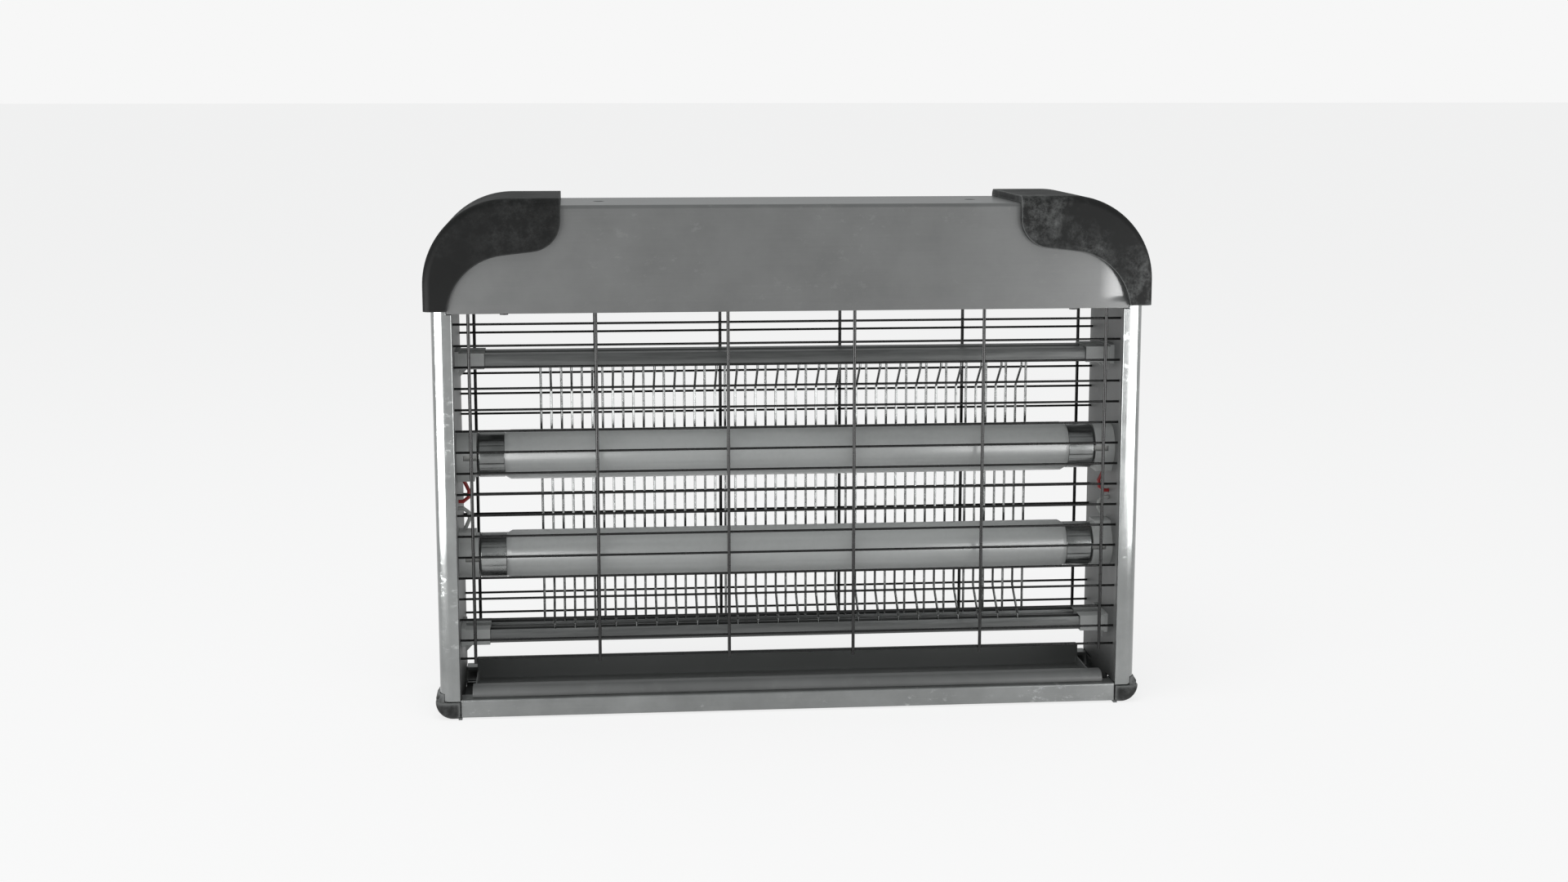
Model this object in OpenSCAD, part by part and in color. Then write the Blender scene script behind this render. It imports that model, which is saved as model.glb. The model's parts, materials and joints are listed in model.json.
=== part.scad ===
// Electric insect killer: two UV tubes behind a live wire grid, in an aluminium frame.
// +Z up, front towards -Y, origin at the middle of the underside.

/* [Frame] */
// Width over the two side frames
frame_w = 375.8; // [374:0.2:378]
// Depth over the bottom rails
frame_d = 76; // [76:0.5:80]
// Height to the top of the corner caps
total_h = 276; // [274:1:290]
// Width of a side frame's front face
side_w = 10.8; // [10.6:0.1:12]
// Wall of the side extrusions
side_wall = 1.6; // [1.2:0.1:1.8]
// Radius of the side frames' outer corners
side_corner = 6; // [5:0.5:7]
// Height of the feet below the side frames
foot_h = 9.4; // [9:0.1:10]
// Top of the bottom rails
rail_top = 11; // [10.8:0.1:11.2]

/* [Hood] */
// Height of the hood's front face
hood_h = 55.7; // [52:0.1:56]
// Sheet thickness of the hood
hood_t = 1.2; // [0.8:0.1:1.2]
// Length of a corner cap along the hood
cap_w = 71.3; // [68:0.1:74]
// Radius of a corner cap's big outer corner
cap_corner = 45; // [44:0.5:46]
// Rounding of a corner cap's front and back edges
cap_edge = 4; // [2:0.5:5]

/* [Grilles] */
// Pitch of the horizontal grille wires
grille_pitch = 11.25; // [11:0.05:11.3]
// Radius of the horizontal grille wires
grille_r = 0.62; // [0.5:0.02:0.65]
// Radius of the vertical grille wires
upright_r = 0.87; // [0.8:0.02:0.9]
// Height of the highest horizontal grille wire
grille_z = 210.4; // [209:0.1:211]

/* [High-voltage grid] */
// Pitch of the grid wires on one pair of rails
grid_pitch = 11.03; // [10.8:0.01:11.2]
// Radius of a grid wire
grid_r = 0.65; // [0.5:0.05:0.7]
// Height of a grid rail
grid_rail_h = 7; // [6.5:0.1:7.5]
// Underside of the lower rails
grid_z0 = 36.6; // [36:0.1:37.5]
// Top of the upper rails
grid_z1 = 193; // [190:0.1:194]

/* [Lamps] */
// Length of a tube from base face to base face
lamp_len = 331.5; // [331:0.1:332]
// Radius of the glass
tube_r = 13.2; // [12.7:0.1:13.3]
// Radius of a tube's end cap
lamp_cap_r = 12; // [11.5:0.1:12.3]
// Height of the lower tube's axis
lamp_z_low = 84.5; // [82:0.5:86]
// Height of the upper tube's axis
lamp_z_high = 139; // [137:0.5:141]
// Distance of the tubes' axes in front of the frame's middle
lamp_fore = 14.7; // [14.6:0.1:16]

/* [Tray] */
// Length of the collecting tray
tray_l = 341.6; // [330:0.2:345]
// Sheet thickness of the tray
tray_t = 0.9; // [0.7:0.1:1.2]
// Depth of the tray's pan below its rim
tray_depth = 12; // [8:0.5:12.5]

/* [Hidden] */
$fn = 48;
eps = 0.01;
x_out = frame_w / 2;
x_in = x_out - side_w;
y_out = frame_d / 2;

hood_y = y_out + 0.4;
hood_top = total_h - 3.8;
hood_z = hood_top - hood_h;
hood_x = x_in + 2.3;
base_x = x_in - 0.5;
hood_bend = 2;
hood_flange = 4.2;
base_z = hood_z + hood_t + 0.1;
base_t = 1.2;
floor_z = base_z + base_t;

cap_x1 = x_out + 3.6;
cap_x0 = cap_x1 - cap_w;
cap_y = y_out + 4;
cap_z = hood_z + 1.5;
cap_skin = 2.4;
cap_cx = cap_x1 - cap_corner;
cap_cz = total_h - cap_corner;
window_r = 33;
window_cx = cap_x1 - 45;
window_cz = cap_z - 4;
window_tilt = 83.5;
window_nose = 16;

side_z = foot_h + 0.2;
side_top = cap_z + 16;
liner_t = 1.2;
liner_x = x_in - 0.3;
liner_gap = 0.1;
liner_shelf = 16;

wire_fore = 31.4;
upright_fore = wire_fore + 1.3;
row_count = 16;
last_row_z = grille_z - (row_count - 1) * grille_pitch - 9.9;
upright_x = [168.75, 102.75, 33.5];
upright_top = floor_z + 3;

grid_rail_d = 7.1;
grid_rail_t = 0.9;
grid_front_y = -17.7;
grid_rear_y = -1.7;
grid_rail_x = 169.5;
grid_crown = 0.55;
rear_wires = 25;
front_wires = 24;
wire_mid_y = grid_rear_y + grid_rail_t + grid_r;
wire_fore_y = grid_front_y + grid_rail_t + grid_r + 0.15;
bend_gap = 2;
bend_h = 13;

lamp_y = -lamp_fore;
lamp_x = lamp_len / 2;
lamp_cap_l = 14.2;
pin_r = 1.17;
pin_l = 7.1;
pin_offset = 6.35;
rotor_r = 9;
rotor_play = 0.06;
holder_x = lamp_x + 0.5;
holder_r = 12;
holder_foot = 13.5;

rim_y = 34.5;
rim_r = 4.5;
rim_z = 16.4;
pan_y = 25.5;
end_wall_h = 4.2;

bush_x = -110;
switch_x = -76;
rear_fitting_z = 244;
cable_r = 3.65;
hang_x = 100;
hang_r = 3;
cap_screw_x = 150;
cap_screw_z = 262;
base_screw_x = 150;
base_screw_y = 35.6;

ALU = [0.60, 0.62, 0.62];
BLACK = [0.13, 0.13, 0.13];
WIRE = [0.06, 0.06, 0.06];
STEEL = [0.45, 0.46, 0.46];
PLASTIC = [0.55, 0.56, 0.55];

// ---- helpers ----

// Points of an arc about (cx, cy) from angle a0 to a1
function arc(cx, cy, r, a0, a1, n = 8) =
    [for (i = [0:n]) let (a = a0 + (a1 - a0) * i / n) [cx + r * cos(a), cy + r * sin(a)]];

// Extrudes a (Y, Z) outline along X
module along_x(x0, x1) {
    translate([x0, 0, 0]) rotate([90, 0, 90]) linear_extrude(x1 - x0) children();
}

// Extrudes an (X, Z) outline along Y
module along_y(y0, y1) {
    translate([0, y1, 0]) rotate([90, 0, 0]) linear_extrude(y1 - y0) children();
}

module box(lo, hi) {
    translate(lo) cube(hi - lo);
}

module rod_x(x0, x1, r) {
    translate([x0, 0, 0]) rotate([0, 90, 0]) cylinder(r = r, h = x1 - x0);
}

module rod_y(y0, y1, r) {
    translate([0, y0, 0]) rotate([-90, 0, 0]) cylinder(r = r, h = y1 - y0);
}

module left() {
    mirror([1, 0, 0]) children();
}

module front() {
    mirror([0, 1, 0]) children();
}

module upper() {
    translate([0, lamp_y, lamp_z_high]) children();
}

module lower() {
    translate([0, lamp_y, lamp_z_low]) children();
}

// A block with its (x1, z1) corner rounded to r, and its rim shaped by a section:
// points [distance from the arc's middle, Y]
module corner_block(x0, z0, x1, z1, r, section) {
    cx = x1 - r;
    cz = z1 - r;
    ys = [for (p = section) p[1]];
    box([x0, min(ys), z0], [cx, max(ys), cz]);
    translate([0, 0, cz]) along_x(x0, cx) polygon([for (p = section) [p[1], p[0]]]);
    translate([cx, 0, z0]) linear_extrude(cz - z0) polygon(section);
    intersection() {
        translate([cx, 0, cz]) rotate([90, 0, 0]) rotate_extrude($fn = 96)
            polygon([for (p = section) [p[0], -p[1]]]);
        box([cx, min(ys) - 1, cz], [x1 + 1, max(ys) + 1, z1 + 1]);
    }
}

// ---- hood ----

function hood_outline(d) = concat(
    [[-hood_y + d, hood_z + d], [hood_y - d, hood_z + d]],
    arc(hood_y - hood_bend, hood_top - hood_bend, hood_bend - d, 0, 90, 6),
    arc(-hood_y + hood_bend, hood_top - hood_bend, hood_bend - d, 90, 180, 6)
);

// Front view of the hood: its upper corners are cut to clear the insides of the caps
hood_trim_r = cap_corner - cap_skin - 0.4;
hood_trim_a = acos((hood_x - cap_cx) / hood_trim_r);
hood_trim = concat(
    [[-hood_x, hood_z - 1], [hood_x, hood_z - 1]],
    arc(cap_cx, cap_cz, hood_trim_r, hood_trim_a, 90, 10),
    arc(-cap_cx, cap_cz, hood_trim_r, 90, 180 - hood_trim_a, 10)
);

module hood_shell() {
    color(ALU)
    difference() {
        intersection() {
            along_x(-hood_x, hood_x) polygon(hood_outline(0));
            along_y(-hood_y - 1, hood_y + 1) polygon(hood_trim);
        }
        along_x(-hood_x - 1, hood_x + 1) polygon(hood_outline(hood_t));
        box([-hood_x - 1, -hood_y + hood_flange, hood_z - 1],
            [hood_x + 1, hood_y - hood_flange, hood_z + 3]);
        // past the base only the front and back sheets go on, lapping over the side frames
        for (s = [-1, 1]) translate([s * (base_x + 5), 0, hood_z])
            cube([10, 2 * (hood_y - hood_t), 2 * hood_t + 0.6], center = true);
        for (s = [-1, 1]) translate([s * hang_x, 0, hood_top - 5]) cylinder(r = hang_r, h = 10);
        for (s = [-1, 1]) translate([s * cap_screw_x, 0, cap_screw_z]) rod_y(30, 50, 1.8);
        for (sx = [-1, 1], sy = [-1, 1])
            translate([sx * base_screw_x, sy * base_screw_y, hood_z - 1]) cylinder(r = 1.25, h = 4);
        translate([bush_x, 0, rear_fitting_z]) rod_y(30, 50, 6.2);
        box([switch_x - 9.6, 30, rear_fitting_z - 6.5], [switch_x + 9.6, 50, rear_fitting_z + 6.5]);
    }
}

module hood_base() {
    color(ALU)
    difference() {
        box([-base_x, -hood_y + hood_t + 0.2, base_z], [base_x, hood_y - hood_t - 0.2, floor_z]);
        for (x = upright_x, sx = [-1, 1], sy = [-1, 1])
            translate([sx * x, sy * upright_fore, base_z - 1]) cylinder(r = upright_r + 0.2, h = 4);
        for (sx = [-1, 1], sy = [-1, 1])
            translate([sx * base_screw_x, sy * base_screw_y, base_z - 1]) cylinder(r = 1.25, h = 4);
    }
}

// ---- corner caps ----

// Section across a cap's rim: distance from the arc's middle, then Y
cap_section = concat(
    [[0, -cap_y]],
    arc(cap_corner - cap_edge, -cap_y + cap_edge, cap_edge, -90, 0, 5),
    arc(cap_corner - cap_edge, cap_y - cap_edge, cap_edge, 0, 90, 5),
    [[0, cap_y]]
);

// The room inside a cap for the hood's end and the top of the side frame
cavity_r = cap_corner - cap_skin;
cavity_top = hood_top + 0.2;
function cap_cavity() = concat(
    [[cap_x0 - 1, cap_z - 1], [cap_cx + cavity_r, cap_z - 1]],
    arc(cap_cx, cap_cz, cavity_r, 0, asin((cavity_top - cap_cz) / cavity_r), 14),
    [[cap_x0 - 1, cavity_top]]
);

// The S-shaped edge of a cap's front and back skins
nose_cx = cap_x0 + window_nose;
nose_cz = window_cz + (window_r + window_nose - (nose_cx - window_cx) * cos(window_tilt))
    / sin(window_tilt);
function cap_window() = concat(
    [[cap_x0 - 1, cap_z - 4], [window_cx + window_r * cos(7), cap_z - 4]],
    arc(window_cx, window_cz, window_r, 7, window_tilt, 14),
    arc(nose_cx, nose_cz, window_nose, 180 + window_tilt, 180, 10),
    [[cap_x0 - 1, nose_cz]]
);

module corner_cap() {
    color(BLACK)
    difference() {
        corner_block(cap_x0, cap_z, cap_x1, total_h, cap_corner, cap_section);
        along_y(-hood_y - 0.2, hood_y + 0.2) polygon(cap_cavity());
        for (s = [-1, 1]) along_y(s * 40.5 - 2.5, s * 40.5 + 2.5) polygon(cap_window());
        translate([cap_screw_x, 0, cap_screw_z]) rod_y(30, 50, 1.8);
        translate([cap_screw_x, 0, cap_screw_z]) rod_y(cap_y - 2, 50, 3.6);
    }
}

module cap_screws() {
    color(STEEL)
    for (s = [-1, 1]) translate([s * cap_screw_x, 0, cap_screw_z]) {
        rod_y(34, cap_y - 1, 1.6);
        difference() {
            rod_y(cap_y - 1.9, cap_y - 0.1, 3.3);
            translate([-0.4, cap_y - 0.9, -2.2]) cube([0.8, 2, 4.4]);
            translate([-2.2, cap_y - 0.9, -0.4]) cube([4.4, 2, 0.8]);
        }
    }
}

module base_screws() {
    color(STEEL)
    for (sx = [-1, 1], sy = [-1, 1]) translate([sx * base_screw_x, sy * base_screw_y, 0]) {
        translate([0, 0, hood_z - 0.2]) cylinder(r = 1.1, h = 6.2);
        difference() {
            translate([0, 0, hood_z - 0.7]) cylinder(r = 2.2, h = 0.7);
            translate([-0.3, -1.4, hood_z - 1]) cube([0.6, 2.8, 0.7]);
            translate([-1.4, -0.3, hood_z - 1]) cube([2.8, 0.6, 0.7]);
        }
    }
}

// ---- side frames, liners and feet ----

module side_frame() {
    cx = x_out - side_corner;
    cy = y_out - side_corner;
    r_in = side_corner - side_wall;
    color(ALU)
    difference() {
        translate([0, 0, side_z]) linear_extrude(side_top - side_z)
            polygon(concat(
                [[x_in, -y_out]], arc(cx, -cy, side_corner, -90, 0), arc(cx, cy, side_corner, 0, 90),
                [[x_in, y_out], [x_in, y_out - side_wall]],
                arc(cx, cy, r_in, 90, 0), arc(cx, -cy, r_in, 0, -90),
                [[x_in, -y_out + side_wall]]
            ));
        // notches for the hood's ends
        for (s = [-1, 1]) translate([0, s * y_out, 0])
            box([x_in - 1, -side_wall - 0.1, hood_z - 0.2],
                [hood_x + 0.4, side_wall + 0.1, side_top + 1]);
    }
}

module grille_rows() {
    for (i = [0:row_count - 1]) translate([0, 0, grille_z - i * grille_pitch]) children();
    translate([0, 0, last_row_z]) children();
}

module side_liner() {
    y = y_out - side_wall - liner_gap;
    color(STEEL)
    difference() {
        union() {
            box([liner_x, -y, rail_top + 0.2], [liner_x + liner_t, y, side_top]);
            box([liner_x, -17.4, 1.2], [liner_x + liner_t, 17.4, rail_top + 1]);
            box([liner_x - liner_shelf, -27.5, 1.2], [liner_x, 27.5, 1.2 + liner_t]);
            box([liner_x - eps, -17.4, 1.2], [liner_x + eps, 17.4, 1.2 + liner_t]);
        }
        for (s = [-1, 1]) grille_rows()
            translate([0, s * wire_fore, 0]) rod_x(liner_x - 1, liner_x + liner_t + 1, grille_r + 0.15);
        for (z = [red_z, grey_z]) translate([0, lead_y, z])
            rod_x(liner_x - 1, liner_x + liner_t + 1, lead_r + 0.4);
    }
}

foot_x0 = x_in + 0.2;
foot_x1 = x_out + 2.4;
foot_y0 = 18;
foot_y1 = y_out + 1.2;
foot_corner = 9.2;
foot_edge = 4;
foot_section = concat(
    [[0, foot_y0], [foot_corner, foot_y0]],
    arc(foot_corner - foot_edge, foot_y1 - foot_edge, foot_edge, 0, 90, 5),
    [[0, foot_y1]]
);

// The foot's collar, which hugs the side frame: distance from the corner's middle, then Z
collar_cx = x_out - side_corner;
collar_cy = y_out - side_corner;
collar_section = [
    [side_corner + 0.2, foot_h - 1], [side_corner + 2.3, foot_h - 1], [side_corner + 2.3, foot_h + 1.6],
    [side_corner + 0.5, foot_h + 4.5], [side_corner + 0.2, foot_h + 4.5]
];

module foot() {
    color(BLACK) {
        translate([0, 0, foot_h]) mirror([0, 0, 1])
            corner_block(foot_x0, 0, foot_x1, foot_h, foot_corner, foot_section);
        // lip under the rail, tongue inside it, plug inside the side frame, collar outside it
        box([foot_x0 - 1, 30, 0], [foot_x0 + 1, y_out + 0.6, 1]);
        box([foot_x0 - 12, 30.2, 2.8], [foot_x0 + 1, 36.2, foot_h - 0.1]);
        box([foot_x0 + 2, 24, foot_h - 1], [foot_x0 + 7.2, 34.5, foot_h + 12]);
        along_y(foot_y0, collar_cy) polygon([for (p = collar_section) p + [collar_cx, 0]]);
        intersection() {
            translate([collar_cx, collar_cy, 0]) rotate_extrude($fn = 96) polygon(collar_section);
            box([collar_cx, collar_cy - eps, 0], [collar_cx + 20, collar_cy + 5, 40]);
        }
    }
}

// Rail outline in (Y, Z): a C open towards the middle
module bottom_rail() {
    w = 1.4;
    color(ALU)
    along_x(-liner_x + 0.1, liner_x - 0.1)
        polygon(concat(
            [[28, rail_top], [28, rail_top - 1.3], [y_out - w, rail_top - 1.3],
             [y_out - w, 2.4], [30, 2.4], [30, 1.1], [y_out, 1.1]],
            arc(y_out - 1.2, rail_top - 1.2, 1.2, 0, 90, 4)
        ));
}

// ---- grilles and tray ----

module grille() {
    color(WIRE) {
        grille_rows() translate([0, wire_fore, 0]) rod_x(-liner_x - 0.8, liner_x + 0.8, grille_r);
        for (x = upright_x, s = [-1, 1])
            translate([s * x, upright_fore, last_row_z - 2.5])
                cylinder(r = upright_r, h = upright_top - last_row_z + 2.5);
    }
}

// One half of the tray's section, from the middle of the floor's top face out to the rim and back
function tray_half() = concat(
    [[pan_y, rim_z - tray_depth + tray_t], [pan_y, rim_z], [rim_y - rim_r, rim_z]],
    arc(rim_y - rim_r, rim_z - rim_r, rim_r, 90, 0),
    [[rim_y, rail_top + 0.05], [rim_y - tray_t, rail_top + 0.05]],
    arc(rim_y - rim_r, rim_z - rim_r, rim_r - tray_t, 0, 90),
    [[pan_y + tray_t, rim_z - tray_t], [pan_y + tray_t, rim_z - tray_depth]]
);

module collecting_tray() {
    half = tray_half();
    n = len(half);
    floor_top = rim_z - tray_depth + tray_t;
    color([0.22, 0.23, 0.23]) {
        along_x(-tray_l / 2, tray_l / 2)
            polygon(concat(half, [for (i = [n - 1:-1:0]) [-half[i][0], half[i][1]]]));
        for (s = [-1, 1]) let (x = s * (tray_l - tray_t) / 2)
            box([x - tray_t / 2, -pan_y - eps, floor_top - eps],
                [x + tray_t / 2, pan_y + eps, floor_top + end_wall_h]);
    }
}

// ---- high-voltage grid ----

// Section of a rail that opens downwards, with its crowned front at y = 0 and its top at z = 0
crown_a = 2 * atan(2 * grid_crown / grid_rail_h);
crown_r = grid_rail_h / 2 / sin(crown_a);
module grid_rail_section() {
    polygon(concat(
        arc(crown_r - grid_crown, -grid_rail_h / 2, crown_r, 180 - crown_a, 180 + crown_a, 6),
        [[grid_rail_t, -grid_rail_h], [grid_rail_t, -grid_rail_t],
         [grid_rail_d - grid_rail_t, -grid_rail_t], [grid_rail_d - grid_rail_t, -grid_rail_h],
         [grid_rail_d, -grid_rail_h], [grid_rail_d, 0]]
    ));
}

module top_grid_rail(y) {
    color([0.30, 0.30, 0.30])
    translate([0, y, grid_z1]) along_x(-grid_rail_x, grid_rail_x) grid_rail_section();
}

module bottom_grid_rail(y) {
    color([0.30, 0.30, 0.30])
    translate([0, y, grid_z0]) mirror([0, 0, 1]) along_x(-grid_rail_x, grid_rail_x)
        grid_rail_section();
}

module grid_wires_rear() {
    color(STEEL)
    for (i = [0:rear_wires - 1])
        translate([(i - (rear_wires - 1) / 2) * grid_pitch, wire_mid_y, grid_z0 + grid_rail_t])
            cylinder(r = grid_r, h = grid_z1 - grid_z0 - 2 * grid_rail_t, $fn = 16);
}

// Straight lengths from point to point in the (Y, Z) plane, run on a little past each bend
module bent_rod(path, r) {
    last = len(path) - 2;
    run = r * 0.47;
    for (i = [0:last]) let (a = path[i], d = path[i + 1] - a, run_a = i == 0 ? 0 : run)
        translate([0, a[0], a[1]]) rotate([-atan2(d[0], d[1]), 0, 0]) translate([0, 0, -run_a])
            cylinder(r = r, h = norm(d) + run_a + (i == last ? 0 : run), $fn = 8);
}

module bent_wire() {
    z_low = grid_z0 + grid_rail_h + bend_gap;
    z_high = grid_z1 - grid_rail_h - bend_gap;
    bent_rod([
        [wire_fore_y, grid_z0 + grid_rail_t], [wire_fore_y, z_low],
        [wire_mid_y, z_low + bend_h], [wire_mid_y, z_high - bend_h],
        [wire_fore_y, z_high], [wire_fore_y, grid_z1 - grid_rail_t]
    ], grid_r);
}

module grid_wires_front() {
    color([0.35, 0.35, 0.36])
    for (i = [0:front_wires - 1])
        translate([(i - (front_wires - 1) / 2) * grid_pitch, 0, 0]) bent_wire();
}

// Moulded bracket on the liner with a socket for each rail end; z is the rails' middle
insulator_x0 = 161.5;
insulator_plate_x = liner_x - 2;
module insulator(z) {
    hh = grid_rail_h / 2;
    color(PLASTIC)
    difference() {
        union() {
            box([insulator_plate_x, -19.8, z - hh - 1.6], [liner_x, 7.4, z + hh + 1.6]);
            for (y = [grid_front_y, grid_rear_y]) {
                box([insulator_x0, y - 1.6, z - hh - 0.7],
                    [insulator_plate_x + eps, y + grid_rail_d + 1.1, z + hh + 0.7]);
                along_y(y + 2.4, y + 4.4)
                    polygon([[insulator_plate_x - 4.5, z - hh - 0.6],
                             [insulator_plate_x + eps, z - hh - 0.6],
                             [insulator_plate_x + eps, z - hh - 5.4]]);
            }
        }
        for (y = [grid_front_y, grid_rear_y])
            box([insulator_x0 - 1, y - grid_crown - 0.1, z - hh - 0.1],
                [grid_rail_x + 0.1, y + grid_rail_d + 0.1, z + hh + 0.1]);
    }
}

// ---- lamps, each drawn about the X axis ----

module tube() {
    neck = lamp_x - lamp_cap_l;
    color([0.86, 0.87, 0.88])
    rotate([0, 90, 0]) rotate_extrude($fn = 64) polygon([
        [tube_r, -neck + 3], [tube_r, neck - 3], [lamp_cap_r - 0.4, neck], [lamp_cap_r - 0.7, neck],
        [lamp_cap_r - 0.7, neck + 6], [lamp_cap_r - 1.6, neck + 6], [lamp_cap_r - 1.6, neck - 1],
        [tube_r - 0.9, neck - 4], [tube_r - 0.9, -neck + 4], [lamp_cap_r - 1.6, -neck + 1],
        [lamp_cap_r - 1.6, -neck - 6], [lamp_cap_r - 0.7, -neck - 6], [lamp_cap_r - 0.7, -neck],
        [lamp_cap_r - 0.4, -neck]
    ]);
}

module tube_cap() {
    x0 = lamp_x - lamp_cap_l + 0.1;
    color([0.75, 0.76, 0.77])
    rotate([0, 90, 0]) difference() {
        rotate_extrude($fn = 64) polygon([
            [lamp_cap_r - 0.6, x0], [lamp_cap_r, x0], [lamp_cap_r, lamp_x - 0.8],
            [lamp_cap_r - 0.8, lamp_x], [0, lamp_x], [0, lamp_x - 1.2],
            [lamp_cap_r - 0.6, lamp_x - 1.2]
        ]);
        for (s = [-1, 1]) translate([s * pin_offset, 0, lamp_x - 3]) cylinder(r = pin_r + 0.02, h = 6);
    }
}

module tube_pins() {
    color([0.80, 0.70, 0.45])
    for (side = [-1, 1], s = [-1, 1])
        translate([0, 0, s * pin_offset])
            rod_x(min(side * (lamp_x - 2.5), side * (lamp_x + pin_l)),
                  max(side * (lamp_x - 2.5), side * (lamp_x + pin_l)), pin_r);
}

// Turning insert of a lampholder: a drum with a hole for each pin
module rotor() {
    color([0.80, 0.80, 0.78])
    difference() {
        rod_x(holder_x, holder_x + 8, rotor_r);
        for (s = [-1, 1]) translate([0, 0, s * pin_offset])
            rod_x(holder_x - 1, lamp_x + pin_l + 0.2, pin_r + 0.1);
    }
}

// Lampholder with its foot downwards
module lampholder() {
    color(PLASTIC)
    difference() {
        union() {
            rod_x(holder_x, liner_x, holder_r);
            along_x(holder_x + 1.5, liner_x)
                polygon([[-10.5, -4], [10.5, -4], [6, -holder_foot], [-6, -holder_foot]]);
        }
        rod_x(holder_x - 1, holder_x + 8.2, rotor_r + rotor_play);
        box([holder_x - 1, -holder_r - 1, -1.5], [holder_x + 7, 0, 1.5]);
    }
}

// ---- leads between the lampholders and the side liners ----

// In through the liner at height z, out in a bow and up by rise to a lampholder's foot
lead_r = 1;
lead_bow = [[2.4, 0], [5.2, 2.2], [5.6, 5.8]];
lead_foot_x = 3;
lead_gap = 0.5;
lead_y = lamp_y + 0.7;
red_z = lamp_z_high - 25.4;
grey_z = lamp_z_low + 25.4;
module lead(z, rise) {
    bow = [for (p = lead_bow) [liner_x - p[0], z + p[1]]];
    translate([0, lead_y, 0]) rotate([0, 0, -90])
        bent_rod(concat([[liner_x + 3.5, z]], bow, [[liner_x - lead_foot_x, z + rise]]), lead_r);
}

module red_lead() {
    color([0.65, 0.10, 0.10])
    lead(red_z, lamp_z_high - holder_foot - red_z - lead_gap);
}

module grey_lead() {
    color([0.72, 0.73, 0.72])
    translate([0, 0, 2 * grey_z]) mirror([0, 0, 1])
        lead(grey_z, grey_z - lamp_z_low - holder_foot - lead_gap);
}

// ---- electrics inside the hood ----

module hv_transformer() {
    z1 = floor_z + 38;
    color([0.35, 0.33, 0.30]) {
        difference() {
            box([-28, -17, floor_z], [28, 17, z1]);
            box([-19, -18, floor_z + 9], [19, 18, z1 - 9]);
        }
        box([-8, -17, floor_z + 8], [8, 17, z1 - 8]);
    }
    color([0.75, 0.55, 0.25])
    difference() {
        box([-18.5, -24, floor_z + 9.5], [18.5, 24, z1 - 9.5]);
        box([-8 - eps, -17 - eps, floor_z + 9], [8 + eps, 17 + eps, z1 - 9]);
    }
}

module ballast() {
    color([0.30, 0.31, 0.32])
    difference() {
        union() {
            box([62, -20, floor_z], [142, 16, floor_z + 2]);
            box([70, -18, floor_z + 2 - eps], [134, 14, floor_z + 30]);
        }
        for (x = [66, 138]) translate([x, -2, floor_z - 1]) cylinder(r = 2.1, h = 5);
    }
}

// From the winding along the hood, down inside a side frame and in to a pair of rails
hv_lead_r = 1.1;
hv_lead_z = side_top + 2.2;
module hv_lead(y_end) {
    x = x_in + 5;
    z = grid_z1 + 8;
    r = hv_lead_r;
    translate([0, 22, hv_lead_z]) rod_x(18.6, x + r, r, $fn = 12);
    translate([x, 22, z - r]) cylinder(r = r, h = hv_lead_z - z + 2 * r, $fn = 12);
    translate([x, 0, z]) rod_y(y_end - r, 22 + r, r, $fn = 12);
    translate([0, y_end, z]) rod_x(liner_x + liner_t + 0.1, x + r, r, $fn = 12);
}

module hv_leads() {
    color([0.80, 0.78, 0.72]) {
        hv_lead(grid_front_y + 3);
        left() hv_lead(grid_rear_y + 3);
    }
}

starter_x = 48;
starter_y = 20;
module starter_sockets() {
    color([0.90, 0.90, 0.88])
    for (s = [-1, 1]) translate([s * starter_x, -starter_y, floor_z]) difference() {
        cylinder(r = 13, h = 8);
        translate([0, 0, 3]) cylinder(r = 11, h = 6);
    }
}

module starters() {
    color([0.92, 0.92, 0.90])
    for (s = [-1, 1]) translate([s * starter_x, -starter_y, floor_z + 3]) {
        cylinder(r = 10.7, h = 34);
        translate([0, 0, 34 - eps]) cylinder(r = 9.4, h = 1.6);
    }
}

module terminal_block() {
    color([0.88, 0.88, 0.85])
    difference() {
        box([34, 8, floor_z], [58, 24, floor_z + 13]);
        for (i = [0:2]) translate([38 + 8 * i, 0, 0]) {
            translate([0, 0, floor_z + 5]) rod_y(0, 30, 1.9);
            for (y = [12, 20]) translate([0, y, floor_z + 6]) cylinder(r = 1.7, h = 10);
        }
    }
}

module cable_bush() {
    color(BLACK)
    translate([bush_x, 0, rear_fitting_z]) difference() {
        union() {
            rod_y(hood_y, hood_y + 2.2, 9);
            rod_y(28, hood_y + eps, 6.1);
            rod_y(hood_y + 2.2 - eps, cap_y - 0.4, 7);
        }
        rod_y(20, 50, cable_r);
    }
}

module bush_nut() {
    color(BLACK)
    translate([bush_x, 0, rear_fitting_z]) difference() {
        translate([0, 32.6, 0]) rotate([-90, 0, 0]) cylinder(r = 9.5, h = 4.5, $fn = 6);
        rod_y(30, 40, 6.15);
    }
}

rocker_pivot_y = hood_y - 2;
rocker_pin_r = 1.5;
module switch_body() {
    color(BLACK)
    translate([switch_x, 0, rear_fitting_z]) difference() {
        union() {
            box([-11, hood_y, -8], [11, hood_y + 1.4, 8]);
            box([-9.4, 20, -6.3], [9.4, hood_y + eps, 6.3]);
        }
        box([-8.3, 26, -5.2], [8.3, 50, 5.2]);
        translate([0, rocker_pivot_y, -8]) cylinder(r = rocker_pin_r + 0.06, h = 16);
    }
}

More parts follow.
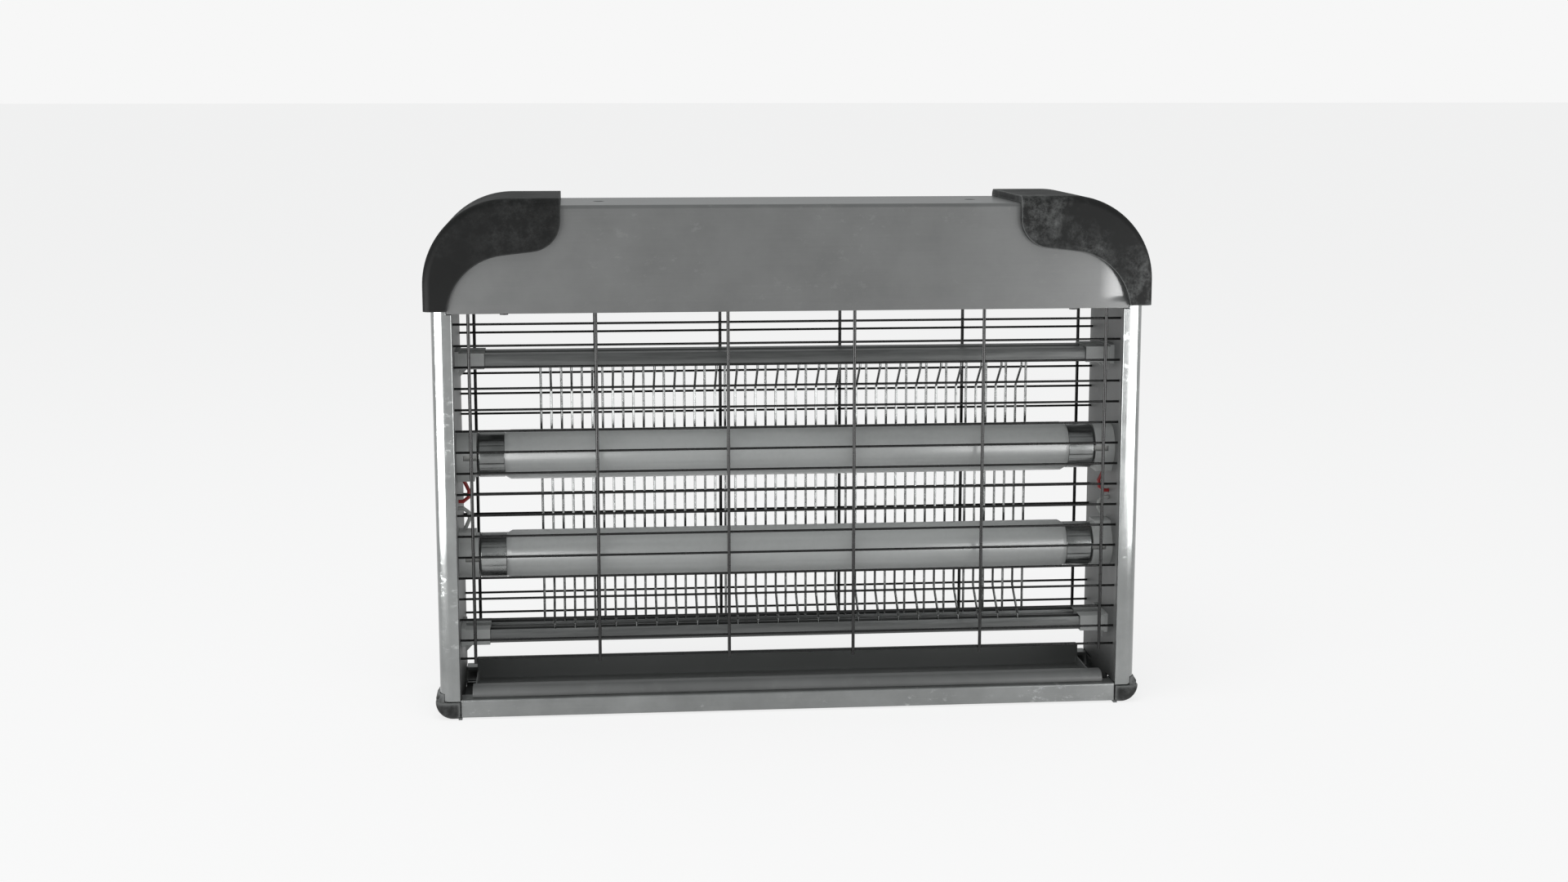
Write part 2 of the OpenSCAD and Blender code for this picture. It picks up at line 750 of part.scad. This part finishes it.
module switch_rocker() {
    half = 7.6;
    color([0.60, 0.08, 0.08])
    translate([switch_x, rocker_pivot_y, rear_fitting_z]) {
        translate([0, 0, -5]) rotate([0, 0, -7]) linear_extrude(10) polygon([
            [-half, -1], [-half, 4.1], [0, 3.2], [half, 4.1], [half, -1], [3, -6], [-3, -6]
        ]);
        translate([0, 0, -6.2]) cylinder(r = rocker_pin_r, h = 12.4);
    }
}

// ---- nodes ----

hood_shell();
hood_base();
left() corner_cap();  // corner_cap_left
corner_cap();  // corner_cap_right
left() side_frame();  // side_frame_left
side_frame();  // side_frame_right
left() side_liner();  // side_liner_left
side_liner();  // side_liner_right
left() front() foot();  // foot_front_left
front() foot();  // foot_front_right
left() foot();  // foot_rear_left
foot();  // foot_rear_right
front() bottom_rail();  // bottom_rail_front
bottom_rail();  // bottom_rail_rear
front() grille();  // front_grille
grille();  // rear_grille
collecting_tray();
top_grid_rail(grid_front_y);  // grid_rail_top_front
top_grid_rail(grid_rear_y);  // grid_rail_top_rear
bottom_grid_rail(grid_front_y);  // grid_rail_bottom_front
bottom_grid_rail(grid_rear_y);  // grid_rail_bottom_rear
grid_wires_front();
grid_wires_rear();
left() insulator(grid_z1 - grid_rail_h / 2);  // insulator_top_left
insulator(grid_z1 - grid_rail_h / 2);  // insulator_top_right
left() insulator(grid_z0 + grid_rail_h / 2);  // insulator_bottom_left
insulator(grid_z0 + grid_rail_h / 2);  // insulator_bottom_right
upper() tube();  // tube_upper
lower() tube();  // tube_lower
upper() left() tube_cap();  // tube_cap_upper_left
upper() tube_cap();  // tube_cap_upper_right
lower() left() tube_cap();  // tube_cap_lower_left
lower() tube_cap();  // tube_cap_lower_right
upper() tube_pins();  // tube_pins_upper
lower() tube_pins();  // tube_pins_lower
upper() left() lampholder();  // lampholder_upper_left
upper() lampholder();  // lampholder_upper_right
lower() left() mirror([0, 0, 1]) lampholder();  // lampholder_lower_left
lower() mirror([0, 0, 1]) lampholder();  // lampholder_lower_right
upper() left() rotor();  // rotor_upper_left
upper() rotor();  // rotor_upper_right
lower() left() rotor();  // rotor_lower_left
lower() rotor();  // rotor_lower_right
left() red_lead();  // red_lead_left
red_lead();  // red_lead_right
left() grey_lead();  // grey_lead_left
grey_lead();  // grey_lead_right
hv_transformer();
hv_leads();
left() ballast();  // ballast_left
ballast();  // ballast_right
starters();
starter_sockets();
terminal_block();
cable_bush();
bush_nut();
switch_body();
switch_rocker();
cap_screws();
base_screws();
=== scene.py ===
import json
import math

import bmesh
import bpy
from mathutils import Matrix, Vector


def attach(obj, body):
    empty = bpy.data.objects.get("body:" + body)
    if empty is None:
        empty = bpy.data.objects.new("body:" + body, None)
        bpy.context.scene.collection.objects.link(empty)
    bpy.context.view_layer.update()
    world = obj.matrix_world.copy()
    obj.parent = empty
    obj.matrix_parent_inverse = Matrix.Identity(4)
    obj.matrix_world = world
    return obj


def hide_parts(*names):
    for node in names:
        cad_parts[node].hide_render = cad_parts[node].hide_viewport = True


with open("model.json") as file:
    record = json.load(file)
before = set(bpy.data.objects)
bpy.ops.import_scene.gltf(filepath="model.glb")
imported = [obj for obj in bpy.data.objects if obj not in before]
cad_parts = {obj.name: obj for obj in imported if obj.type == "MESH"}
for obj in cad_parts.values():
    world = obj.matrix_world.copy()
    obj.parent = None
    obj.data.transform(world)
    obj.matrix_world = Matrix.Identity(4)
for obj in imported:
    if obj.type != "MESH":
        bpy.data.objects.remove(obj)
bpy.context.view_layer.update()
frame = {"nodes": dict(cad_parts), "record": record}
NODES = frame["nodes"]
MM = 0.001

# Camera: place in metres, pitch and turn in degrees, lens and sensor in millimetres
CAMERA_PLACE = (-0.1122, -1.1684, 0.3332)
CAMERA_PITCH = 80.718
CAMERA_TURN = -5.442
LENS = 50
SENSOR_WIDTH = 36

# Meshes: millimetres and degrees
MERGE_DISTANCE = 0.002
FLAT_ANGLE = 0.5
SMOOTH_ANGLE = 30
BEVEL_SEGMENTS = 3
BEVELS = {
    "hood_shell": 0.25, "corner_cap": 0.8, "side_frame": 0.45, "foot": 0.4, "bottom_rail": 0.25,
    "insulator": 0.35, "tube_cap": 0.35, "lampholder": 0.5, "collecting_tray": 0.2,
    "switch_body": 0.3, "switch_rocker": 0.3, "cable_bush": 0.3,
}

# The hood's pressed corner, in mm: its reach from the hood's right end, how far back it goes, how
# deep the front sheet's vertices lie, and the heights above the hem where it grows and fades
PRESS_REACH = 17.4
PRESS_DEPTH = 1.05
PRESS_SHEET = 8.4
PRESS_GROWS = (2.7, 6.7)
PRESS_FADES = (15.5, 33.5)
# The cuts that give it vertices, in mm: the gaps between them across the hood, where it grows and
# higher up, and the height above the hem where the wider ones start
GAP_ACROSS = 2
GAP_LOW = 0.8
GAP_HIGH = 4
HIGH_CUTS = 9.5
CUT_TOLERANCE = 0.001

# Where the collecting tray's front rim ends and its pan starts, in metres from front to back;
# the pan behind the rim gets painted light, paler than the rim
TRAY_PAN_Y = (-0.024, -0.020)
# Height below which the side liners get painted shade, darker towards the bottom, in metres
LINER_SHADE_Z = (0.0, 0.06)
# Where the lamps' glass starts to look smoky and where it is darkest, in metres from the middle
SMOKE_X = (0.105, 0.150)

# Stage: metres, watts and light levels
FLOOR_HALF = 40
FLOOR_LEVEL = 0.18
FLOOR_GLOW = 0.79
BACKDROP = (0.93, 0.93, 0.93, 1)
AMBIENT = (0.46, 0.47, 0.47, 1)
STRIPS = {"strip_left": ((-0.31, -0.58), (-0.69, -0.06)),
          "strip_right": ((0.335, -0.56), (0.67, -0.20))}
STRIP_Z = 0.12
STRIP_HEIGHT = 0.24
STRIP_WATTS_PER_METRE = 6.8
TOP_PLACE = (-0.3, -0.7, 1.7)
TOP_AIM = (0, 0, 0.15)
TOP_SIZE = 1.4
TOP_WATTS = 16

# Grain directions: a noise is drawn out along the axis with the small number
ALONG_X = (0.02, 1, 1)
ALONG_Z = (1, 1, 0.02)


# ---- camera ----

def make_camera():
    data = bpy.data.cameras.new("camera")
    data.lens = LENS
    data.sensor_width = SENSOR_WIDTH
    camera = bpy.data.objects.new("camera", data)
    camera.location = CAMERA_PLACE
    camera.rotation_euler = (math.radians(CAMERA_PITCH), 0, math.radians(CAMERA_TURN))
    bpy.context.scene.collection.objects.link(camera)
    bpy.context.scene.camera = camera


# ---- node helpers ----

class Graph:
    """A material's node tree, with short calls for the nodes used here."""

    def __init__(self, name):
        self.material = bpy.data.materials.new(name)
        self.material.use_nodes = True
        self.tree = self.material.node_tree
        self.shader = self.tree.nodes["Principled BSDF"]
        self.place = self.node("ShaderNodeTexCoord").outputs["Object"]

    def node(self, kind, **settings):
        made = self.tree.nodes.new(kind)
        for key, value in settings.items():
            setattr(made, key, value)
        return made

    def link(self, source, target):
        self.tree.links.new(source, target)

    def feed(self, socket, value):
        if isinstance(value, bpy.types.NodeSocket):
            self.link(value, socket)
        else:
            socket.default_value = value

    def along(self, axis):
        """The place along one axis of the piece's own frame."""
        parts = self.node("ShaderNodeSeparateXYZ")
        self.link(self.place, parts.inputs["Vector"])
        return parts.outputs[axis]

    def stretched(self, scale):
        mapping = self.node("ShaderNodeMapping")
        mapping.inputs["Scale"].default_value = scale
        self.link(self.place, mapping.inputs["Vector"])
        return mapping.outputs["Vector"]

    def noise(self, scale, detail=4, rough=0.55, stretch=(1, 1, 1), seed=0.0):
        made = self.node("ShaderNodeTexNoise", noise_dimensions="4D")
        made.inputs["Scale"].default_value = scale
        made.inputs["Detail"].default_value = detail
        made.inputs["Roughness"].default_value = rough
        made.inputs["W"].default_value = seed
        self.link(self.stretched(stretch), made.inputs["Vector"])
        return made.outputs["Fac"]

    def ramp(self, value, low, high, to_low=0.0, to_high=1.0):
        made = self.node("ShaderNodeMapRange", clamp=True)
        self.feed(made.inputs["Value"], value)
        limits = {"From Min": low, "From Max": high, "To Min": to_low, "To Max": to_high}
        for key, number in limits.items():
            made.inputs[key].default_value = number
        return made.outputs["Result"]

    def math(self, operation, a, b=0.0):
        made = self.node("ShaderNodeMath", operation=operation)
        self.feed(made.inputs[0], a)
        self.feed(made.inputs[1], b)
        return made.outputs["Value"]

    def mix(self, fac, a, b):
        made = self.node("ShaderNodeMix", data_type="RGBA")
        self.feed(made.inputs["Factor"], fac)
        self.feed(made.inputs[6], a)
        self.feed(made.inputs[7], b)
        return made.outputs[2]

    def bump(self, height, strength, distance):
        made = self.node("ShaderNodeBump")
        made.inputs["Strength"].default_value = strength
        made.inputs["Distance"].default_value = distance
        self.link(height, made.inputs["Height"])
        self.link(made.outputs["Normal"], self.shader.inputs["Normal"])

    def edges(self, radius, low, high):
        """1 on outer edges, 0 on open faces and in corners."""
        bevel = self.node("ShaderNodeBevel", samples=4)
        bevel.inputs["Radius"].default_value = radius
        geometry = self.node("ShaderNodeNewGeometry")
        dot = self.node("ShaderNodeVectorMath", operation="DOT_PRODUCT")
        self.link(bevel.outputs["Normal"], dot.inputs[0])
        self.link(geometry.outputs["Normal"], dot.inputs[1])
        return self.ramp(dot.outputs["Value"], high, low)

    def set(self, **sockets):
        names = {"color": "Base Color", "rough": "Roughness", "metal": "Metallic",
                 "coat": "Coat Weight", "coat_rough": "Coat Roughness", "coat_ior": "Coat IOR",
                 "level": "Specular IOR Level", "ior": "IOR"}
        for key, value in sockets.items():
            self.feed(self.shader.inputs[names[key]], value)


def grey(level, tint=(0.97, 1.0, 0.99)):
    return (level * tint[0], level * tint[1], level * tint[2], 1)


# ---- materials ----

def aluminium(name, level, rough, grain, scuffs=0.5, seed=0.0, metal=0.85, coat=0.0):
    """Satin metal: clouded tone, fine grain along `grain`, pale scuffs and small dents."""
    g = Graph(name)
    clouds = g.noise(30, 6, 0.65, seed=seed)
    tone = g.mix(g.ramp(clouds, 0.35, 0.65), grey(level * 0.88), grey(level * 1.12))
    fine = g.noise(900, 3, 0.7, grain, seed + 1)
    tone = g.mix(g.ramp(fine, 0.3, 0.75, 0, 0.18), tone, grey(level * 1.35))
    marks = g.math("MULTIPLY", g.ramp(g.noise(150, 6, 0.75, (1, 1, 1.6), seed + 2), 0.56, 0.66),
                   g.ramp(g.noise(20, 3, 0.6, seed=seed + 3), 0.47, 0.60))
    tone = g.mix(g.math("MULTIPLY", marks, scuffs), tone, grey(min(level * 2.1, 0.9)))
    g.set(color=tone, metal=metal, rough=g.ramp(clouds, 0.3, 0.7, rough - 0.04, rough + 0.06),
          coat=coat, coat_rough=0.2, coat_ior=1.9)
    g.bump(g.math("ADD", fine, marks), 0.12, 0.00015)
    return g.material


def black_plastic(name, level=0.035, dust=0.5, seed=0.0, edge_wear_and_highlight=0.6, rim=0.0018):
    """Moulded plastic: leather-fine grain, dusty scratches, and paler edges, partly wear and partly
    painted highlight.
    """
    g = Graph(name)
    clouds = g.noise(22, 5, 0.6, seed=seed)
    tone = g.mix(g.ramp(clouds, 0.35, 0.7), grey(level * 0.8), grey(level * 1.25))
    dusty = g.math("MULTIPLY", g.ramp(g.noise(120, 9, 0.8, seed=seed + 4), 0.45, 0.70),
                   g.ramp(g.noise(24, 4, 0.6, seed=seed + 5), 0.44, 0.60))
    tone = g.mix(g.math("MULTIPLY", dusty, dust), tone, grey(0.22))
    # paler edges: partly wear, partly a painted highlight where light catches them
    tone = g.mix(g.math("MULTIPLY", g.edges(rim, 0.75, 0.985), edge_wear_and_highlight), tone, grey(0.24))
    g.set(color=tone, rough=g.ramp(clouds, 0.3, 0.7, 0.42, 0.58), level=0.3, ior=1.25)
    g.bump(g.noise(1500, 2, 0.5, seed=seed), 0.15, 0.0001)
    return g.material


def painted(name, level, rough, seed=0.0, shade=None, painted_light_y=None):
    """Painted sheet: slight orange peel, clouded tone and dusty patches.

    With painted shade it is darker below the given heights, and with painted light it is paler
    behind the given places along Y.
    """
    g = Graph(name)
    clouds = g.noise(18, 5, 0.6, seed=seed)
    tone = g.mix(g.ramp(clouds, 0.3, 0.7), grey(level * 0.82), grey(level * 1.2))
    dust = g.ramp(g.noise(70, 7, 0.7, seed=seed + 1), 0.55, 0.75, 0, 0.25)
    tone = g.mix(dust, tone, grey(level * 2.2))
    if shade:
        # painted shade: darker towards the bottom, below the heights given as shade
        tone = g.mix(g.ramp(g.along("Z"), *shade), grey(level * 0.35), tone)
    if painted_light_y:
        # painted light: the pan behind the tray's front rim is paler
        tone = g.mix(g.ramp(g.along("Y"), *painted_light_y), tone, grey(level * 1.9))
    g.set(color=tone, rough=g.ramp(clouds, 0.3, 0.7, rough - 0.05, rough + 0.08), level=0.45)
    g.bump(g.noise(700, 2, 0.5, seed=seed), 0.08, 0.0001)
    return g.material


def wire(name, level, metal, rough, seed=0.0, contrast=1.0, stretch=(1, 1, 1), level_spec=0.15):
    """Drawn or coated wire with small bright and dark spots, or streaks where it is stretched."""
    g = Graph(name)
    spots = g.noise(260, 5, 0.7, stretch, seed)
    tone = g.mix(g.ramp(spots, 0.35, 0.7), grey(level * (1 - 0.4 * contrast)),
                 grey(level * (1 + 0.5 * contrast)))
    g.set(color=tone, metal=metal, rough=g.ramp(spots, 0.3, 0.7, rough - 0.06, rough + 0.08),
          level=level_spec)
    g.bump(spots, 0.1, 0.0001)
    return g.material


def moulded(name, color, rough=0.45, seed=0.0, coat=0.0):
    """Coloured plastic with faint mottling and fine grain."""
    g = Graph(name)
    clouds = g.noise(60, 4, 0.6, seed=seed)
    dark = tuple(c * 0.82 for c in color) + (1,)
    light = tuple(min(c * 1.1, 1) for c in color) + (1,)
    tone = g.mix(g.ramp(clouds, 0.3, 0.7), dark, light)
    tone = g.mix(g.math("MULTIPLY", g.edges(0.0005, 0.8, 0.985), 0.3), tone, light)
    g.set(color=tone, rough=g.ramp(clouds, 0.3, 0.7, rough - 0.05, rough + 0.08),
          coat=coat, coat_rough=0.15)
    g.bump(g.noise(1400, 2, 0.5, seed=seed), 0.08, 0.0001)
    return g.material


def lamp_glass(name):
    """Phosphor-coated glass: milky grey, smoky near the ends, with soft smudges."""
    g = Graph(name)
    smoke = g.ramp(g.math("ABSOLUTE", g.along("X")), *SMOKE_X, 0, 0.22)
    smudge = g.ramp(g.noise(26, 5, 0.6, (0.5, 1, 1)), 0.42, 0.68, 0, 0.5)
    tone = g.mix(smudge, grey(0.40), grey(0.27))
    tone = g.mix(smoke, tone, grey(0.14))
    speckle = g.ramp(g.noise(420, 3, 0.6), 0.35, 0.7, 0, 0.12)
    g.set(color=g.mix(speckle, tone, grey(0.55)), rough=g.ramp(smudge, 0, 0.5, 0.28, 0.42),
          coat=0.25, coat_rough=0.22, level=0.4)
    return g.material


def chrome(name):
    """Bright pressed metal with smears and a few dull patches."""
    g = Graph(name)
    smear = g.noise(45, 5, 0.65, (0.4, 1, 1))
    g.set(color=g.mix(g.ramp(smear, 0.35, 0.65), grey(0.16), grey(0.31)), metal=1.0,
          rough=g.ramp(smear, 0.3, 0.7, 0.12, 0.34))
    g.bump(g.noise(300, 3, 0.5), 0.06, 0.0001)
    return g.material


def make_materials():
    """Gives the function that picks a node's material by the start of its name."""
    hood = aluminium("hood_aluminium", level=0.103, rough=0.46, grain=ALONG_X, scuffs=0.25, seed=0,
                     metal=0.2, coat=0.55)
    posts = aluminium("post_aluminium", level=0.29, rough=0.15, grain=ALONG_Z, scuffs=0.8, seed=7)
    rails = aluminium("rail_aluminium", level=0.21, rough=0.38, grain=ALONG_X, scuffs=0.8, seed=13)
    cap_left = black_plastic("cap_plastic_left", level=0.012, dust=0.15, seed=3, edge_wear_and_highlight=0.2)
    cap_right = black_plastic("cap_plastic_right", level=0.018, dust=0.75, seed=9, edge_wear_and_highlight=0.9,
                              rim=0.0014)
    feet = black_plastic("foot_plastic", level=0.026, dust=0.9, seed=21, edge_wear_and_highlight=0.9, rim=0.0035)
    fittings = black_plastic("fitting_plastic", level=0.03, dust=0.2, seed=31)
    liner = painted("liner_paint", level=0.14, rough=0.5, seed=4, shade=LINER_SHADE_Z)
    tray = painted("tray_paint", level=0.115, rough=0.42, seed=8, painted_light_y=TRAY_PAN_Y)
    transformer = painted("transformer_varnish", level=0.16, rough=0.4, seed=14)
    ballast = painted("ballast_paint", level=0.16, rough=0.4, seed=15)
    front_wire = wire("grille_wire", level=0.006, metal=0.0, rough=0.28, seed=1, level_spec=0.35)
    rear_wire = wire("rear_wire", level=0.006, metal=0.0, rough=0.32, seed=9, level_spec=0.25)
    grid_rail = wire("grid_rail_steel", level=0.13, metal=0.7, rough=0.34, seed=6, contrast=0.6,
                     stretch=(0.04, 1, 1))
    grid_wire = wire("grid_wire_steel", level=0.13, metal=0.9, rough=0.24, seed=11, contrast=1.2)
    pin = wire("pin_brass", level=0.45, metal=1.0, rough=0.3, seed=12)
    cap_screw = wire("screw_zinc", level=0.42, metal=1.0, rough=0.3, seed=16)
    base_screw = wire("base_screw_black", level=0.03, metal=0.5, rough=0.4, seed=17)
    holder = moulded("holder_plastic", (0.34, 0.35, 0.345), rough=0.5, seed=2)
    white = moulded("white_plastic", (0.55, 0.55, 0.53), rough=0.4, seed=5)
    red_lead = moulded("red_insulation", (0.30, 0.015, 0.015), rough=0.35, seed=3)
    grey_lead = moulded("grey_insulation", (0.35, 0.36, 0.35), rough=0.4, seed=6)
    cream_lead = moulded("cream_insulation", (0.45, 0.42, 0.34), rough=0.5, seed=8)
    rocker = moulded("rocker_red", (0.28, 0.012, 0.012), rough=0.25, seed=4, coat=0.5)
    by_start = [
        ("hood_shell", hood), ("hood_base", rails), ("side_frame", posts), ("bottom_rail", rails),
        ("corner_cap_left", cap_left), ("corner_cap_right", cap_right), ("foot", feet),
        ("side_liner", liner), ("collecting_tray", tray),
        ("front_grille", front_wire), ("rear_grille", rear_wire),
        ("grid_rail", grid_rail), ("grid_wires", grid_wire),
        ("insulator", holder), ("lampholder", holder), ("rotor", white),
        ("tube_cap", chrome("lamp_cap_chrome")), ("tube_pins", pin), ("tube", lamp_glass("lamp_glass")),
        ("red_lead", red_lead), ("grey_lead", grey_lead), ("hv_leads", cream_lead),
        ("hv_transformer", transformer), ("ballast", ballast), ("starter", white), ("terminal", white),
        ("cable_bush", fittings), ("bush_nut", fittings), ("switch_body", fittings),
        ("switch_rocker", rocker), ("cap_screws", cap_screw), ("base_screws", base_screw),
    ]

    def pick(node):
        return next(material for start, material in by_start if node.startswith(start))
    return pick


# ---- pieces ----


def body_of(node):
    bodies = frame["record"]["behaviour"]["bodies"]
    return next(body for body, members in bodies.items() if node in members)


def smooth_step(value, low, high):
    t = min(max((value - low) / (high - low), 0), 1)
    return t * t * (3 - 2 * t)


def spaced(low, high, gap):
    """Places from low up to high, gap apart."""
    return [low + gap * i for i in range(int((high - low) / gap + 1.001))]


def press_in_corner(work):
    """The hood's sheet curves back a little at its lower right corner, beside the cap."""
    right = max(v.co.x for v in work.verts) / MM
    sheet = min(v.co.y for v in work.verts) / MM + PRESS_SHEET
    hem = min(v.co.z for v in work.verts) / MM
    grows = [hem + height for height in PRESS_GROWS]
    fades = [hem + height for height in PRESS_FADES]
    across = spaced(right - PRESS_REACH + GAP_ACROSS / 2, right, GAP_ACROSS)
    up = spaced(*grows, GAP_LOW) + spaced(hem + HIGH_CUTS, fades[1], GAP_HIGH)
    cuts = [((x * MM, 0, 0), (1, 0, 0)) for x in across]
    cuts += [((0, 0, z * MM), (0, 0, 1)) for z in up]
    for place, normal in cuts:
        faces = [f for f in work.faces if all(v.co.y < sheet * MM for v in f.verts)]
        parts = set(faces)
        for face in faces:
            parts.update(face.edges)
            parts.update(face.verts)
        bmesh.ops.bisect_plane(work, geom=list(parts), plane_co=place, plane_no=normal,
                               dist=CUT_TOLERANCE * MM)

    for vert in work.verts:
        x, y, z = (c / MM for c in vert.co)
        if y < sheet:
            along = min(max((x - right) / PRESS_REACH + 1, 0), 1)
            height = smooth_step(z, *grows) * (1 - smooth_step(z, *fades))
            vert.co.y += PRESS_DEPTH * along * along * height * MM


def flatten_shading(piece):
    """Large faces keep their own normals, so a rounded edge doesn't shade the face beside it."""
    weighted = piece.modifiers.new("weighted", "WEIGHTED_NORMAL")
    weighted.weight = 95
    weighted.keep_sharp = True
    graph = bpy.context.evaluated_depsgraph_get()
    plain = piece.data
    piece.data = bpy.data.meshes.new_from_object(piece.evaluated_get(graph), depsgraph=graph)
    piece.data.name = plain.name
    piece.modifiers.clear()
    bpy.data.meshes.remove(plain)


def finish_node(node, bevel, material):
    """Puts a copy with welded faces, rounded edges and smooth curves in a CAD node's place."""
    mesh = NODES[node].data.copy()
    mesh.name = node + "_finished"
    work = bmesh.new()
    work.from_mesh(mesh)
    bmesh.ops.remove_doubles(work, verts=work.verts, dist=MERGE_DISTANCE * MM)
    bmesh.ops.dissolve_limit(work, angle_limit=math.radians(FLAT_ANGLE), verts=work.verts,
                             edges=work.edges)
    if bevel:
        sharp = [e for e in work.edges
                 if len(e.link_faces) == 2 and e.calc_face_angle(0) > math.radians(SMOOTH_ANGLE)]
        bmesh.ops.bevel(work, geom=sharp, offset=bevel * MM, segments=BEVEL_SEGMENTS, profile=0.5,
                        affect="EDGES", clamp_overlap=True)
    if node == "hood_shell":
        press_in_corner(work)
    for face in work.faces:
        face.smooth = True
    work.to_mesh(mesh)
    work.free()
    mesh.set_sharp_from_angle(angle=math.radians(SMOOTH_ANGLE))
    piece = bpy.data.objects.new(node + "_finished", mesh)
    bpy.context.scene.collection.objects.link(piece)
    if bevel:
        flatten_shading(piece)
        mesh = piece.data
    mesh.materials.clear()
    mesh.materials.append(material)
    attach(piece, body_of(node))
    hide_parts(node)


def make_pieces():
    pick = make_materials()
    for node in NODES:
        bevel = next((b for start, b in BEVELS.items() if node.startswith(start)), 0)
        finish_node(node, bevel, pick(node))


# ---- stage and light ----

def make_floor():
    mesh = bpy.data.meshes.new("floor")
    corners = [(x * FLOOR_HALF, y * FLOOR_HALF, 0) for x, y in ((-1, -1), (1, -1), (1, 1), (-1, 1))]
    mesh.from_pydata(corners, [], [(0, 1, 2, 3)])
    floor = bpy.data.objects.new("floor", mesh)
    bpy.context.scene.collection.objects.link(floor)
    g = Graph("floor_white")
    g.set(color=(FLOOR_LEVEL, FLOOR_LEVEL, FLOOR_LEVEL, 1), rough=0.9, level=0.0)
    g.shader.inputs["Emission Color"].default_value = (1, 1, 1, 1)
    g.shader.inputs["Emission Strength"].default_value = FLOOR_GLOW
    mesh.materials.append(g.material)


def make_world():
    """A bright backdrop for the camera, and a dimmer one that lights the pieces."""
    world = bpy.data.worlds.new("studio")
    world.use_nodes = True
    tree = world.node_tree
    seen = tree.nodes["Background"]
    seen.inputs["Color"].default_value = BACKDROP
    lit = tree.nodes.new("ShaderNodeBackground")
    lit.inputs["Color"].default_value = AMBIENT
    path = tree.nodes.new("ShaderNodeLightPath")
    choose = tree.nodes.new("ShaderNodeMixShader")
    tree.links.new(path.outputs["Is Camera Ray"], choose.inputs["Fac"])
    tree.links.new(lit.outputs["Background"], choose.inputs[1])
    tree.links.new(seen.outputs["Background"], choose.inputs[2])
    tree.links.new(choose.outputs["Shader"], tree.nodes["World Output"].inputs["Surface"])
    bpy.context.scene.world = world


def area_light(name, place, aim, size, watts):
    data = bpy.data.lights.new(name, "AREA")
    data.shape = "RECTANGLE"
    data.size, data.size_y = size
    data.energy = watts
    lamp = bpy.data.objects.new(name, data)
    lamp.location = place
    lamp.rotation_euler = (Vector(aim) - Vector(place)).to_track_quat("-Z", "Y").to_euler()
    bpy.context.scene.collection.objects.link(lamp)
    return lamp


def make_lights():
    """A low bright strip at each side, seen only in reflections, and soft light from above."""
    for name, (near, far) in STRIPS.items():
        middle = ((near[0] + far[0]) / 2, (near[1] + far[1]) / 2, STRIP_Z)
        length = math.dist(near, far)
        side = Vector((far[1] - near[1], near[0] - far[0], 0)).normalized()
        inward = side if side.dot(Vector((-middle[0], -middle[1], 0))) > 0 else -side
        strip = area_light(name, middle, Vector(middle) + inward, (length, STRIP_HEIGHT),
                           STRIP_WATTS_PER_METRE * length)
        strip.visible_diffuse = False
        strip.visible_camera = False
    top = area_light("top", TOP_PLACE, TOP_AIM, (TOP_SIZE, TOP_SIZE), TOP_WATTS)
    top.visible_glossy = False


make_camera()
make_pieces()
make_floor()
make_world()
make_lights()
bpy.context.scene.view_settings.view_transform = "Standard"
